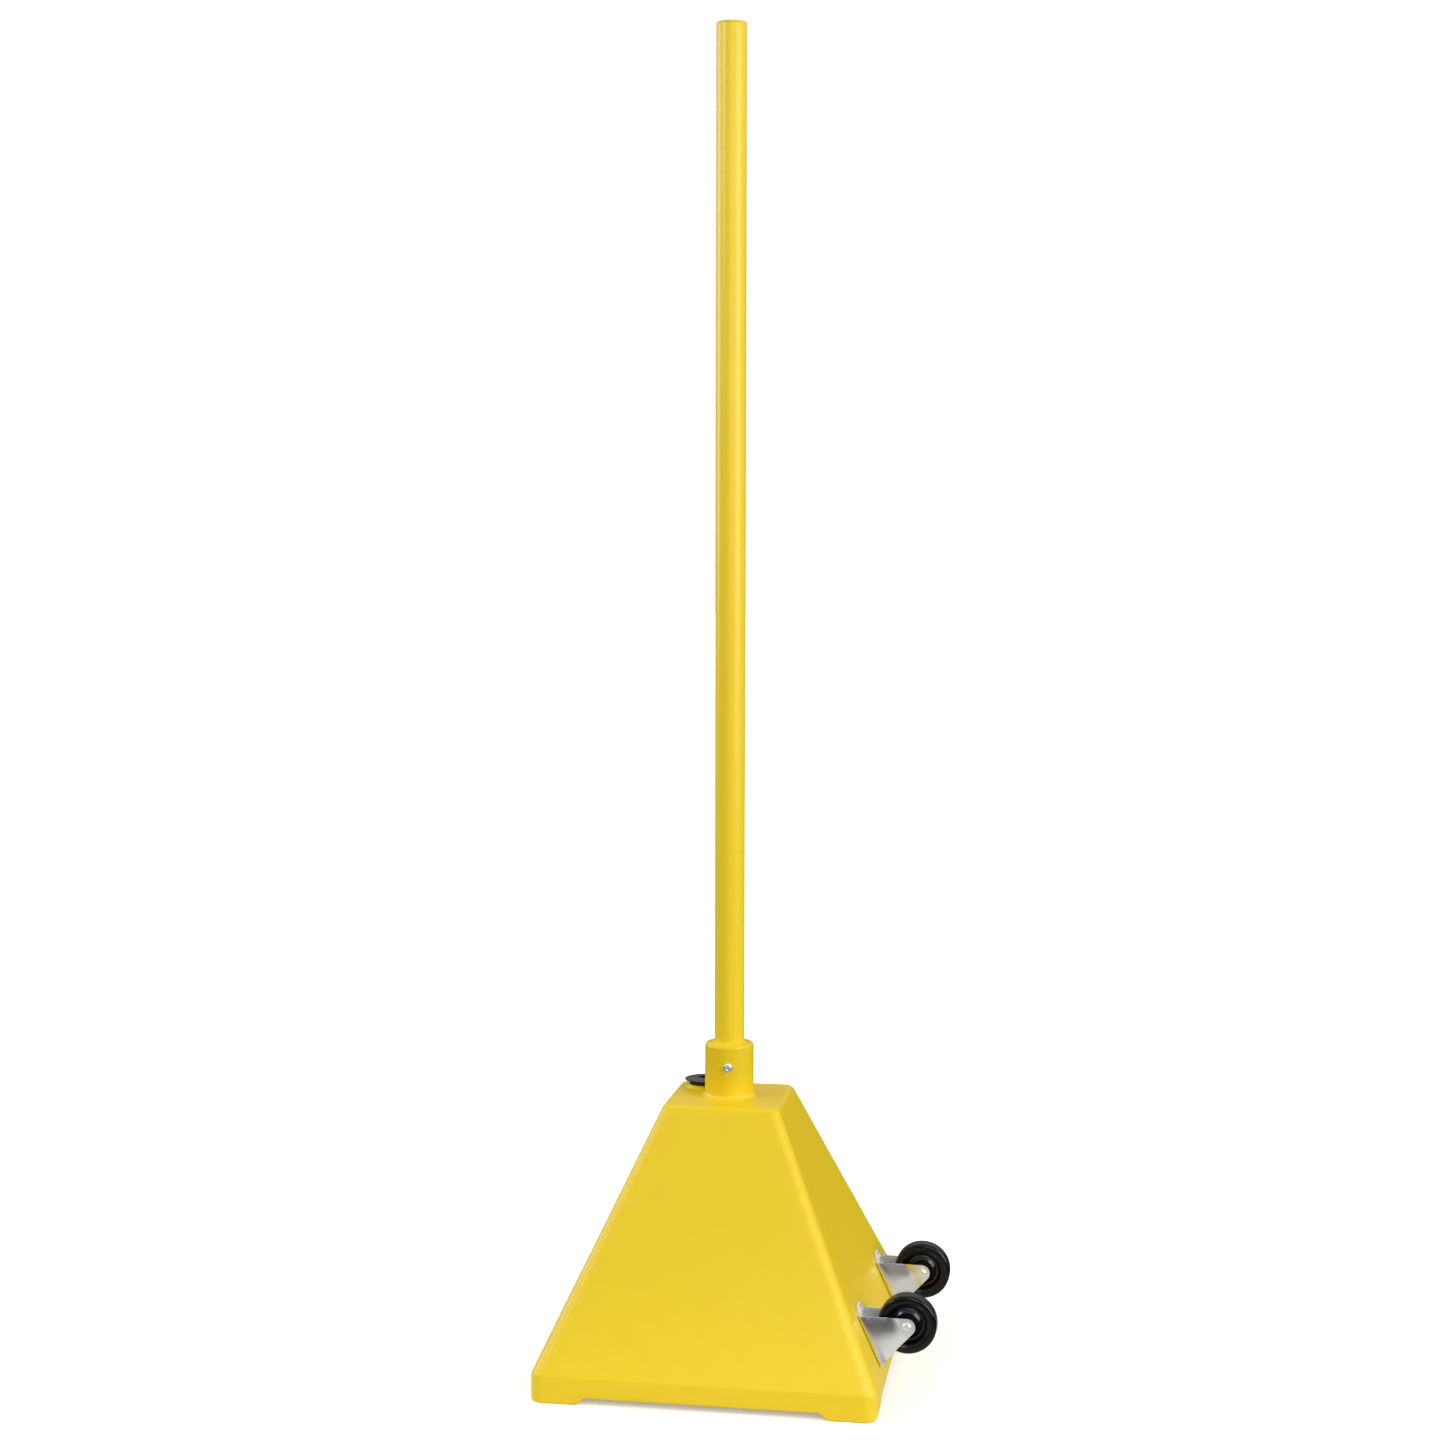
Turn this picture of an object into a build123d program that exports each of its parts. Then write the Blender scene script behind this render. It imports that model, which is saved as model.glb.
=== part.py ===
from build123d import *
import math
import os

# Portable pyramid sign base with a round post, a ballast tank, a filler cap and two rigid casters.
# Millimetres. +Z is up, the floor is z = 0 and the post stands on the Z axis.
# The front face looks along -Y, and the casters are on the sloped +X face.

# ---- base tank ----
BASE_HALF = 236.5
SKIRT_H = 36.4
TOP_HALF = 81.6
TOP_Z = 379.3
SKIRT_CORNER_R = 17.0
TOP_CORNER_R = 14.0
TOP_EDGE_R = 9.0
CREASE_R = 9.0
WALL = 5.0
FOOT_RECESS = 9.5
FOOT_INNER = 174.0
RECESS_INNER = 158.0
CENTRE_PAD_R = 42.0
FOOT_EDGE_R = 2.5

# ---- shared by several parts: how far a cut runs past a face, and how wide a screw's crown is ----
OVERRUN = 1.0
CROWN_SHARE = 0.55

# ---- post and its socket ----
POST_R = 21.1
POST_WALL = 2.0
POST_BOTTOM_Z = 49.2
POST_TOP_Z = 1878.0
SOCKET_CLEARANCE = 0.3
SOCKET_FLOOR_Z = 49.0
SOCKET_R = 27.0
COLLAR_R = 34.7
COLLAR_TOP_Z = 456.2
COLLAR_FOOT_R = 14.0
COLLAR_TOP_R = 8.0
CAP_HEAD_T = 3.0
CAP_HEAD_R = 1.4
CAP_SPIGOT_LEN = 24.0
CAP_SPIGOT_WALL = 2.0
CAP_SPIGOT_GAP = 0.8
CAP_RIB_COUNT = 4
CAP_RIB_T = 1.6
CAP_RIB_FIRST = 4.0
CAP_RIB_STEP = 5.0

# ---- screw that locks the post in the collar ----
LOCK_Z = 424.8
LOCK_ANGLE = 5.5
LOCK_SHANK_R = 2.75
LOCK_HOLE_R = 2.8
LOCK_LENGTH = 24.0
LOCK_FLANGE_R = 7.0
LOCK_FLANGE_T = 1.2
LOCK_HEX_AF = 9.5
LOCK_HEX_H = 4.6
LOCK_HEX_CHAMFER = 0.7
LOCK_DIMPLE_R = 2.6
LOCK_DIMPLE_DEPTH = 1.0
LOCK_POINT = 1.4
LOCK_SEAT_R = 8.0
LOCK_SEAT_X = 33.9

# ---- filler neck, cap and gasket ----
FILL_X = -45.0
FILL_Y = 46.0
BOSS_R = 27.0
BOSS_H = 4.4
BOSS_EDGE_R = 1.5
NECK_RIM_R = 20.7
NECK_RIM_H = 3.6
NECK_RIM_EDGE_R = 0.6
NECK_BARREL_R = 18.4
NECK_HOLE_R = 18.5
NECK_BORE_R = 15.7
NECK_LENGTH = 21.0
GASKET_R = 20.2
GASKET_T = 1.0
GASKET_BORE_GAP = 0.2
GASKET_FACE_GAP = 0.02
CAP_DISC_R = 27.4
CAP_SEAT_R = 20.4
CAP_EDGE_RISE = 1.5
CAP_EDGE_T = 1.2
CAP_DOME_H = 4.6
CAP_DOME_DROP = 0.48
CAP_PLUG_R = 15.6
CAP_PLUG_LEN = 16.0
CAP_PLUG_WALL = 2.4
CAP_ROOF = 3.0
CAP_NOTCH_COUNT = 18
CAP_NOTCH_R = 1.1
CAP_SOCKET_AF = 12.7
CAP_SOCKET_DEPTH = 2.4

# ---- casters ----
CASTER_Y = 121.4
AXLE_H = 55.5
AXLE_ALONG = 46.7
SHEET = 2.5
FORK_ROOT_HALF = 25.0
FORK_TIP_HALF = 20.5
FORK_TAPER_H = 42.0
FORK_BEND_R = 5.0
LEG_BOSS_R = 12.0
LEG_LOWER = -36.5
TAB_UPPER = 50.5
TAB_LOWER = -42.0
TAB_HALF = 17.5
TAB_CORNER_R = 12.0
TYRE_R = 40.5
TYRE_HALF = 12.5
TYRE_SHOULDER_R = 4.0
TYRE_BORE_R = 28.0
TYRE_BEAD = 2.0
RIM_HALF = 10.5
RIM_INNER_R = 26.5
RIM_LIP = 0.8
WEB_HALF = 4.0
WEB_EDGE = 2.0
HUB_R = 11.5
HUB_HALF = 16.5
HUB_CHAMFER = 1.0
HUB_ROOT = 4.5
HUB_FLARE = 9.5
SLEEVE_R = 6.0
BORE_CLEARANCE = 0.05
RIVET_R = 4.0
RIVET_HEAD_R = 7.0
RIVET_HEAD_H = 3.2
RIVET_EDGE_H = 0.8
RIVET_CROWN_H = 2.2
TENON_R = 2.2
TENON_DEPTH = 1.0
TENON_FLARE = 0.6

# ---- screws, washers and threaded inserts that hold each fork ----
BOLT_UPPER = 39.5
BOLT_LOWER = -29.5
BOLT_R = 3.0
BOLT_HOLE_R = 3.3
BOLT_HEX_AF = 10.0
BOLT_HEX_H = 4.2
BOLT_HEX_CHAMFER = 0.8
BOLT_LENGTH = 16.0
WASHER_R = 7.0
WASHER_T = 1.4
WASHER_BORE_GAP = 0.2
INSERT_R = 4.6
INSERT_LEN = 13.0
INSERT_FLANGE_R = 7.0
INSERT_FLANGE_T = 1.5
INSERT_BOSS_R = 10.5
INSERT_BOSS_LEN = 18.0

CASTER_SIDES = {"front": -1, "rear": 1}
SLOPE = math.atan2(BASE_HALF - TOP_HALF, TOP_Z - SKIRT_H)
# a leg's upper edge is level, and touches the round end at its highest point
LEG_UPPER = LEG_BOSS_R / math.cos(SLOPE) + AXLE_H * math.tan(SLOPE)
FACE_OUT = Vector(math.cos(SLOPE), 0, math.sin(SLOPE))
FACE_UP = Vector(-math.sin(SLOPE), 0, math.cos(SLOPE))


# ---------------------------------------------------------------- helpers

def rounded_square(half, radius, z):
    """A square face of half-width half with rounded corners, at height z."""
    return Plane.XY.offset(z) * RectangleRounded(2 * half, 2 * half, radius)


def disc(radius, z_low, z_high, at=(0, 0)):
    """An upright cylinder between two heights."""
    plane = Plane((at[0], at[1], z_low))
    return extrude(plane * Circle(radius), z_high - z_low)


def ring(outer, inner, z_low, z_high, at=(0, 0)):
    """An upright ring between two heights."""
    return disc(outer, z_low, z_high, at) - disc(inner, z_low - OVERRUN, z_high + OVERRUN, at)


def edges_at(shape, z, tolerance=0.05):
    """The edges that lie flat at one height."""
    boxes = [(edge, edge.bounding_box()) for edge in shape.edges()]
    return [edge for edge, box in boxes if max(abs(box.min.Z - z), abs(box.max.Z - z)) < tolerance]


def caster_plane(side):
    """Plane on the sloped face under one axle: x runs up the slope, z out of the face."""
    foot = Vector(BASE_HALF, side * CASTER_Y, SKIRT_H) + FACE_UP * AXLE_ALONG
    return Plane(origin=foot, x_dir=FACE_UP, z_dir=FACE_OUT)


def axle_plane(side):
    """Plane through the middle of one wheel, with its normal along the axle (+Y)."""
    centre = caster_plane(side).origin + FACE_OUT * AXLE_H
    return Plane(origin=centre, x_dir=Vector(1, 0, 0), z_dir=Vector(0, 1, 0))


def about_axle(side, *points):
    """Revolve a closed outline of (radius, along-axle) points about one axle."""
    plane = axle_plane(side)
    outline = Plane(origin=plane.origin, x_dir=plane.x_dir, z_dir=plane.z_dir.cross(plane.x_dir) * -1)
    face = outline * make_face(Polyline(*points, close=True))
    return revolve(face, Axis(plane.origin, plane.z_dir))


# ---------------------------------------------------------------- base tank

def pyramid(inset, foot_z):
    """Skirt and sloped sides, moved inwards by inset. The inside of the tank is the same shape."""
    slope_inset = inset / math.cos(SLOPE)
    top_inset = inset * math.tan(SLOPE)
    crease = SKIRT_H + inset / math.tan((math.pi - SLOPE) / 2)
    top = TOP_Z - inset
    low_half = BASE_HALF - inset
    high_half = TOP_HALF - slope_inset + top_inset
    low_r = SKIRT_CORNER_R - inset
    high_r = TOP_CORNER_R - inset
    skirt = extrude(rounded_square(low_half, low_r, foot_z), crease - foot_z)
    sides = loft([rounded_square(low_half, low_r, crease), rounded_square(high_half, high_r, top)])
    return skirt + sides


def foot_channels(half_low, half_high, depth, base_z):
    """The raised cross under the tank that leaves a foot at each corner."""
    below = base_z - WALL
    outline = Plane.XZ * make_face(Polyline(
        (-half_low, below), (half_low, below), (half_low, base_z),
        (half_high, base_z + depth), (-half_high, base_z + depth), (-half_low, base_z), close=True))
    along_y = extrude(outline, BASE_HALF + OVERRUN, both=True)
    return along_y + along_y.rotate(Axis.Z, 90)


def collar():
    """Collar round the post: a wide fillet at its foot and a rounded outer edge."""
    foot_out = COLLAR_R + COLLAR_FOOT_R
    foot_mid = COLLAR_FOOT_R * math.sqrt(0.5)
    edge_mid = COLLAR_TOP_R * (1 - math.sqrt(0.5))
    low = TOP_Z - WALL
    outline = [
        Polyline((0, COLLAR_TOP_Z), (0, low), (foot_out, low), (foot_out, TOP_Z)),
        ThreePointArc((foot_out, TOP_Z),
                      (foot_out - foot_mid, TOP_Z + COLLAR_FOOT_R - foot_mid),
                      (COLLAR_R, TOP_Z + COLLAR_FOOT_R)),
        Line((COLLAR_R, TOP_Z + COLLAR_FOOT_R), (COLLAR_R, COLLAR_TOP_Z - COLLAR_TOP_R)),
        ThreePointArc((COLLAR_R, COLLAR_TOP_Z - COLLAR_TOP_R),
                      (COLLAR_R - edge_mid, COLLAR_TOP_Z - edge_mid),
                      (COLLAR_R - COLLAR_TOP_R, COLLAR_TOP_Z)),
        Line((COLLAR_R - COLLAR_TOP_R, COLLAR_TOP_Z), (0, COLLAR_TOP_Z)),
    ]
    return revolve(Plane.XZ * make_face(outline), Axis.Z)


def lock_plane():
    """Plane at the lock screw: z points out of the collar, through the post's axis."""
    angle = math.radians(-90 + LOCK_ANGLE)
    out = Vector(math.cos(angle), math.sin(angle), 0)
    return Plane(origin=(0, 0, LOCK_Z), x_dir=out.cross(Vector(0, 0, 1)), z_dir=out)


def insert_places(side):
    """The planes of one fork's screws, on the outside of the sloped face."""
    plane = caster_plane(side)
    return [Plane(origin=plane.origin + FACE_UP * along, x_dir=FACE_UP, z_dir=FACE_OUT)
            for along in (BOLT_UPPER, BOLT_LOWER)]


def base_shell():
    outer = pyramid(0, 0)
    outer = fillet(edges_at(outer, 0), FOOT_EDGE_R)
    outer = fillet(edges_at(outer, TOP_Z), TOP_EDGE_R)
    outer = fillet(edges_at(outer, SKIRT_H), CREASE_R)
    centre_pad = disc(CENTRE_PAD_R, -OVERRUN, FOOT_RECESS + OVERRUN)
    outer -= foot_channels(FOOT_INNER, RECESS_INNER, FOOT_RECESS, 0) - centre_pad
    outer += collar()
    boss = disc(BOSS_R, TOP_Z - WALL, TOP_Z + BOSS_H, (FILL_X, FILL_Y))
    outer += fillet(edges_at(boss, TOP_Z + BOSS_H), BOSS_EDGE_R)

    cavity = pyramid(WALL, WALL)
    cavity -= foot_channels(FOOT_INNER + WALL, RECESS_INNER + WALL, FOOT_RECESS, WALL)
    cavity += disc(CENTRE_PAD_R - WALL, WALL, FOOT_RECESS + 2 * WALL)
    cavity -= disc(SOCKET_R, SOCKET_FLOOR_Z - WALL, TOP_Z)
    for side in CASTER_SIDES.values():
        for place in insert_places(side):
            cavity -= extrude(place * Circle(INSERT_BOSS_R), -INSERT_BOSS_LEN)

    shell = outer - cavity
    shell -= disc(POST_R + SOCKET_CLEARANCE, SOCKET_FLOOR_Z, COLLAR_TOP_Z + OVERRUN)
    shell -= disc(NECK_HOLE_R, TOP_Z - 3 * WALL, TOP_Z + BOSS_H + OVERRUN, (FILL_X, FILL_Y))
    shell -= extrude(lock_plane() * Circle(LOCK_HOLE_R), COLLAR_R + OVERRUN)
    shell -= extrude(lock_plane().offset(LOCK_SEAT_X) * Circle(LOCK_SEAT_R), WALL)
    for side in CASTER_SIDES.values():
        for place in insert_places(side):
            shell -= extrude(place * Circle(INSERT_R), -INSERT_LEN)
            shell -= extrude(place * Circle(INSERT_FLANGE_R), -INSERT_FLANGE_T)
    return shell


# ---------------------------------------------------------------- post

def post_tube():
    tube = ring(POST_R, POST_R - POST_WALL, POST_BOTTOM_Z, POST_TOP_Z - CAP_HEAD_T)
    return tube - extrude(lock_plane() * Circle(LOCK_HOLE_R), POST_R + OVERRUN)


def post_top_cap():
    """Ribbed plug pushed into the tube, with a head as wide as the post."""
    seat = POST_TOP_Z - CAP_HEAD_T
    head = disc(POST_R, seat, POST_TOP_Z)
    head = fillet(edges_at(head, POST_TOP_Z), CAP_HEAD_R)
    bore = POST_R - POST_WALL
    spigot_r = bore - CAP_SPIGOT_GAP
    spigot = ring(spigot_r, spigot_r - CAP_SPIGOT_WALL, seat - CAP_SPIGOT_LEN, seat)
    cap = head + spigot
    for k in range(CAP_RIB_COUNT):
        low = seat - CAP_RIB_FIRST - k * CAP_RIB_STEP
        cap += ring(bore, spigot_r - CAP_SPIGOT_GAP, low - CAP_RIB_T, low)
    return cap


def post_screw():
    """Hex washer head tapping screw, through the collar and one wall of the post."""
    seat = lock_plane().offset(LOCK_SEAT_X)
    flange = extrude(seat * Circle(LOCK_FLANGE_R), LOCK_FLANGE_T)
    hexagon = extrude(seat * RegularPolygon(LOCK_HEX_AF / 2, 6, major_radius=False), LOCK_HEX_H)
    crown = extrude(seat * Circle(CROWN_SHARE * LOCK_HEX_AF), LOCK_HEX_H)
    crown = chamfer(crown.edges().sort_by(Axis(seat.origin, seat.z_dir))[-1], LOCK_HEX_CHAMFER)
    dimple = seat.offset(LOCK_HEX_H + LOCK_DIMPLE_R - LOCK_DIMPLE_DEPTH) * Sphere(LOCK_DIMPLE_R)
    shank = extrude(seat * Circle(LOCK_SHANK_R), -LOCK_LENGTH)
    tip = chamfer(shank.edges().sort_by(Axis(seat.origin, seat.z_dir))[0], LOCK_POINT)
    return flange + (hexagon & crown) - dimple + tip


# ---------------------------------------------------------------- filler

def fill_neck():
    """Threaded neck that stands on the boss and reaches down into the tank."""
    base = TOP_Z + BOSS_H
    at = (FILL_X, FILL_Y)
    rim = disc(NECK_RIM_R, base, base + NECK_RIM_H, at)
    rim = fillet(edges_at(rim, base + NECK_RIM_H), NECK_RIM_EDGE_R)
    neck = rim + disc(NECK_BARREL_R, base + NECK_RIM_H - NECK_LENGTH, base + OVERRUN, at)
    return neck - disc(NECK_BORE_R, base - NECK_LENGTH, base + NECK_RIM_H + OVERRUN, at)


def cap_gasket():
    low = TOP_Z + BOSS_H + NECK_RIM_H
    high = low + GASKET_T
    return ring(GASKET_R, CAP_PLUG_R + GASKET_BORE_GAP, low + GASKET_FACE_GAP, high - GASKET_FACE_GAP,
                (FILL_X, FILL_Y))


def fill_cap():
    """Screw cap: a low domed disc with a thin, notched, raised edge, over a hollow plug."""
    low = TOP_Z + BOSS_H + NECK_RIM_H + GASKET_T
    top = low + CAP_DOME_H
    edge_low = low + CAP_EDGE_RISE
    edge_high = edge_low + CAP_EDGE_T
    outline = [
        Polyline((0, top), (0, low), (CAP_SEAT_R, low), (CAP_DISC_R, edge_low), (CAP_DISC_R, edge_high)),
        ThreePointArc((CAP_DISC_R, edge_high), (CAP_DISC_R / 2, top - CAP_DOME_DROP), (0, top)),
    ]
    at = Vector(FILL_X, FILL_Y, 0)
    upright = Plane(origin=at, x_dir=(1, 0, 0), z_dir=(0, -1, 0))
    dome = revolve(upright * make_face(outline), Axis(at, (0, 0, 1)))
    for k in range(CAP_NOTCH_COUNT):
        angle = math.tau * k / CAP_NOTCH_COUNT
        place = (FILL_X + CAP_DISC_R * math.cos(angle), FILL_Y + CAP_DISC_R * math.sin(angle))
        dome -= disc(CAP_NOTCH_R, low - OVERRUN, top + OVERRUN, place)
    socket_floor = Plane((FILL_X, FILL_Y, top - CAP_SOCKET_DEPTH))
    dome -= extrude(socket_floor * Rectangle(CAP_SOCKET_AF, CAP_SOCKET_AF), CAP_DOME_H)
    plug = disc(CAP_PLUG_R, low - CAP_PLUG_LEN, low + OVERRUN, (FILL_X, FILL_Y))
    roof_z = top - CAP_SOCKET_DEPTH - CAP_ROOF
    hollow = disc(CAP_PLUG_R - CAP_PLUG_WALL, low - CAP_PLUG_LEN - OVERRUN, roof_z, (FILL_X, FILL_Y))
    return dome + plug - hollow


# ---------------------------------------------------------------- casters

def fork(side):
    """One pressed sheet: a plate with a tab at each end, and two legs bent up to the axle."""
    plane = caster_plane(side)
    section = Plane(origin=plane.origin, x_dir=plane.y_dir, z_dir=plane.x_dir)
    tip_h = AXLE_H + LEG_BOSS_R + SHEET
    outer = Polyline(
        (FORK_ROOT_HALF, 0), (FORK_TIP_HALF, FORK_TAPER_H), (FORK_TIP_HALF, tip_h),
        (-FORK_TIP_HALF, tip_h), (-FORK_TIP_HALF, FORK_TAPER_H), (-FORK_ROOT_HALF, 0), close=True)
    channel = fillet(make_face(outer).vertices().group_by(Axis.Y)[0], FORK_BEND_R)
    hollow = offset(channel, -SHEET, kind=Kind.INTERSECTION)
    over = Pos(0, tip_h) * Rectangle(2 * (FORK_TIP_HALF - SHEET), 4 * SHEET)
    pressed = extrude(section * (channel - hollow - over), 2 * TAB_UPPER, both=True)

    side_plane = Plane(origin=plane.origin, x_dir=plane.x_dir, z_dir=plane.y_dir * -1)
    boss = Pos(0, AXLE_H) * Circle(LEG_BOSS_R)
    web = make_face(Polyline(*leg_outline(), close=True))
    legs = extrude(side_plane * (boss + web), 2 * FORK_ROOT_HALF, both=True)
    tab_len = TAB_UPPER - TAB_LOWER
    tabs = RectangleRounded(tab_len, 2 * TAB_HALF, TAB_CORNER_R)
    tabs = plane * Pos((TAB_UPPER + TAB_LOWER) / 2, 0) * tabs
    plate = extrude(tabs, SHEET)
    body = (pressed & legs) + (pressed & plate)
    for along in (BOLT_UPPER, BOLT_LOWER):
        body -= extrude(plane * Pos(along, 0) * Circle(BOLT_HOLE_R), 2 * SHEET)
    hole = extrude(axle_plane(side) * Circle(RIVET_R + BORE_CLEARANCE), 2 * FORK_ROOT_HALF, both=True)
    return body - hole


def leg_outline():
    """Side outline of a leg: straight edges from the plate, tangent to the round end at the axle."""
    points = [(LEG_LOWER, 0), (LEG_UPPER, 0)]
    for corner in (LEG_UPPER, LEG_LOWER):
        sign = 1 if corner > 0 else -1
        reach = math.hypot(corner, AXLE_H)
        turn = math.asin(LEG_BOSS_R / reach)
        lean = math.atan2(abs(corner), AXLE_H) - turn
        length = math.sqrt(reach ** 2 - LEG_BOSS_R ** 2)
        points.append((corner - sign * length * math.sin(lean), length * math.cos(lean)))
    return points


def tyre(side):
    """Solid rubber tyre with rounded shoulders."""
    bead_r = TYRE_BORE_R + TYRE_BEAD
    body = about_axle(side, (TYRE_BORE_R, -RIM_HALF), (bead_r, -TYRE_HALF), (TYRE_R, -TYRE_HALF),
                      (TYRE_R, TYRE_HALF), (bead_r, TYRE_HALF), (TYRE_BORE_R, RIM_HALF))
    outer_rims = body.edges().filter_by(GeomType.CIRCLE).group_by(SortBy.RADIUS)[-1]
    return fillet(outer_rims, TYRE_SHOULDER_R)


def wheel_core(side):
    """Moulded wheel centre: rim, dished web and hub, bored to run on the sleeve."""
    bore = SLEEVE_R + BORE_CLEARANCE
    half = [(bore, HUB_HALF), (HUB_R - HUB_CHAMFER, HUB_HALF), (HUB_R, HUB_HALF - HUB_CHAMFER),
            (HUB_R + HUB_ROOT, 2 * WEB_HALF), (HUB_R + HUB_FLARE, WEB_HALF),
            (RIM_INNER_R - WEB_EDGE, WEB_HALF),
            (RIM_INNER_R, WEB_HALF + WEB_EDGE), (RIM_INNER_R + RIM_LIP, RIM_HALF), (TYRE_BORE_R, RIM_HALF)]
    other = [(r, -y) for r, y in reversed(half)]
    return about_axle(side, *half, *other)


def axle_sleeve(side):
    """Steel tube between the legs: the wheel turns on it."""
    half = FORK_TIP_HALF - SHEET
    outer = extrude(axle_plane(side) * Circle(SLEEVE_R), half, both=True)
    return outer - extrude(axle_plane(side) * Circle(RIVET_R + BORE_CLEARANCE), half + OVERRUN, both=True)


def axle_rivet(side):
    """Axle rivet with a domed head outside each leg."""
    half = FORK_TIP_HALF
    shank = extrude(axle_plane(side) * Circle(RIVET_R), half, both=True)
    flat = RIVET_HEAD_R - RIVET_CROWN_H
    tall = half + RIVET_HEAD_H
    heads = about_axle(side, (0, half), (RIVET_HEAD_R, half), (RIVET_HEAD_R, half + RIVET_EDGE_H),
                       (RIVET_HEAD_R - RIVET_EDGE_H, half + RIVET_CROWN_H), (flat, tall), (TENON_R, tall),
                       (TENON_R - TENON_FLARE, tall - TENON_DEPTH), (0, tall - TENON_DEPTH))
    return shank + heads + heads.mirror(Plane(origin=axle_plane(side).origin, z_dir=(0, 1, 0)))


def fork_bolts(side):
    """Hex bolts that hold the fork, one through each tab."""
    bolts = []
    for place in insert_places(side):
        seat = place.offset(SHEET + WASHER_T)
        head = extrude(seat * RegularPolygon(BOLT_HEX_AF / 2, 6, major_radius=False), BOLT_HEX_H)
        crown = extrude(seat * Circle(CROWN_SHARE * BOLT_HEX_AF), BOLT_HEX_H)
        crown = chamfer(crown.edges().sort_by(Axis(seat.origin, seat.z_dir))[-1], BOLT_HEX_CHAMFER)
        bolts.append((head & crown) + extrude(seat * Circle(BOLT_R), -BOLT_LENGTH))
    return bolts


def fork_washers(side):
    section = Circle(WASHER_R) - Circle(BOLT_R + WASHER_BORE_GAP)
    return [extrude(place.offset(SHEET) * section, WASHER_T) for place in insert_places(side)]


def threaded_inserts(side):
    """Flanged steel inserts moulded into the tank wall."""
    inserts = []
    for place in insert_places(side):
        body = extrude(place * Circle(INSERT_R), -INSERT_LEN)
        body += extrude(place * Circle(INSERT_FLANGE_R), -INSERT_FLANGE_T)
        inserts.append(body - extrude(place * Circle(BOLT_R + BORE_CLEARANCE), -INSERT_LEN - OVERRUN))
    return inserts


# ---------------------------------------------------------------- parts

def write(name, *solids):
    shape = solids[0] if len(solids) == 1 else Compound(children=list(solids))
    export_step(shape, f"parts/{name}.step")


os.makedirs("parts", exist_ok=True)
write("base_shell", base_shell())
write("post_tube", post_tube())
write("post_top_cap", post_top_cap())
write("post_screw", post_screw())
write("fill_neck", fill_neck())
write("cap_gasket", cap_gasket())
write("fill_cap", fill_cap())
for end, side in CASTER_SIDES.items():
    write(f"{end}_fork", fork(side))
    write(f"{end}_tyre", tyre(side))
    write(f"{end}_wheel_core", wheel_core(side))
    write(f"{end}_axle_sleeve", axle_sleeve(side))
    write(f"{end}_axle_rivet", axle_rivet(side))
    write(f"{end}_fork_bolts", *fork_bolts(side))
    write(f"{end}_fork_washers", *fork_washers(side))
    write(f"{end}_threaded_inserts", *threaded_inserts(side))
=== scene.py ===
import math
import bmesh
import bpy
from mathutils import Matrix, Vector
from mathutils.geometry import delaunay_2d_cdt


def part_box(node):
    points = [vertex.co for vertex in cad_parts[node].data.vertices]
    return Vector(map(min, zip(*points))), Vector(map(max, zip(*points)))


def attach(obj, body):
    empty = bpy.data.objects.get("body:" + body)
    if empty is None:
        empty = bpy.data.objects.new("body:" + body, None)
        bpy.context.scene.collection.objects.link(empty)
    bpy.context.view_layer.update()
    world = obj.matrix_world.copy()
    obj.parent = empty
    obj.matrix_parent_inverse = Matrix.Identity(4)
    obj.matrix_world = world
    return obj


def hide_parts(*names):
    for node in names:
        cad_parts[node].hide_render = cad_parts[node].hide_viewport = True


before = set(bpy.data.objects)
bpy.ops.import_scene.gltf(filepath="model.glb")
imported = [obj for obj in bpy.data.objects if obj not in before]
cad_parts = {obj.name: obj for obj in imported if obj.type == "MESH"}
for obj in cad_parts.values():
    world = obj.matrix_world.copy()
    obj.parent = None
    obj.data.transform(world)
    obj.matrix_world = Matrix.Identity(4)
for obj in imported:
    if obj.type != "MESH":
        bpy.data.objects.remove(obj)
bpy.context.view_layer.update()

# Metres, in the model's frame: the floor is z = 0, the post stands on the Z axis,
# the front face looks along -Y and the casters are on the +X slope.

# ---- camera ----
CAMERA_AT = Vector((0.545857, -3.324516, 1.182444))
CAMERA_YAW = math.radians(9.508)
CAMERA_PITCH = math.radians(4.598)
CAMERA_ROLL = math.radians(0.113)
SENSOR_MM = 36.0
LENS_MM = 59.79
CLIP_END = 100

# ---- light: a range is (from low, from high, to low, to high), ----
# ---- and a softbox is (name, place, target, width, height, watts) ----
SKY_RAMP = (0.04, 0.32, 0.03, 0.56)
FLOOR_GLOW = (0.35, 0.75, 0.30, 1.0)
FLOOR_BOUNCE = (0.40, 0.70, 0.74, 0.08)
SOFTBOXES = (
    ("key", (-3.2, -2.6, 3.0), (0, 0, 0.4), 1.1, 1.1, 48),
    ("fill", (3.6, -1.7, 1.9), (0.1, 0, 0.4), 2.8, 2.8, 121),
    ("side", (-4.0, 0.5, 2.0), (0, 0, 0.7), 2.0, 2.0, 62),
    ("front", (0.9, -4.2, 2.1), (0, 0, 0.6), 1.8, 1.8, 32),
)
FLOOR_HALF = 30

# ---- tank ----
TANK_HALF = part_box("base_shell")[1].x
COLLAR_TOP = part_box("base_shell")[1].z
SKIRT_H = 0.0364
TOP_HALF = 0.0816
TOP_Z = 0.3793
SKIRT_CORNER_R = 0.017
TOP_CORNER_R = 0.014
CREASE_R = 0.010
TOP_EDGE_R = 0.0095
FOOT_EDGE_R = 0.0025
FOOT_INNER = 0.174
RECESS_INNER = 0.158
FOOT_RECESS = 0.0095
PAD_R = 0.042
PAD_EDGE = 0.004
PANEL_SINK = 0.0012
NOTCH_X = 0.203
NOTCH_HALF = 0.0035
NOTCH_H = 0.0012
COLLAR_R = 0.0347
COLLAR_FOOT_R = 0.014
COLLAR_TOP_R = 0.008
LIP_R = 0.0245
LIP_H = 0.0024
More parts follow.
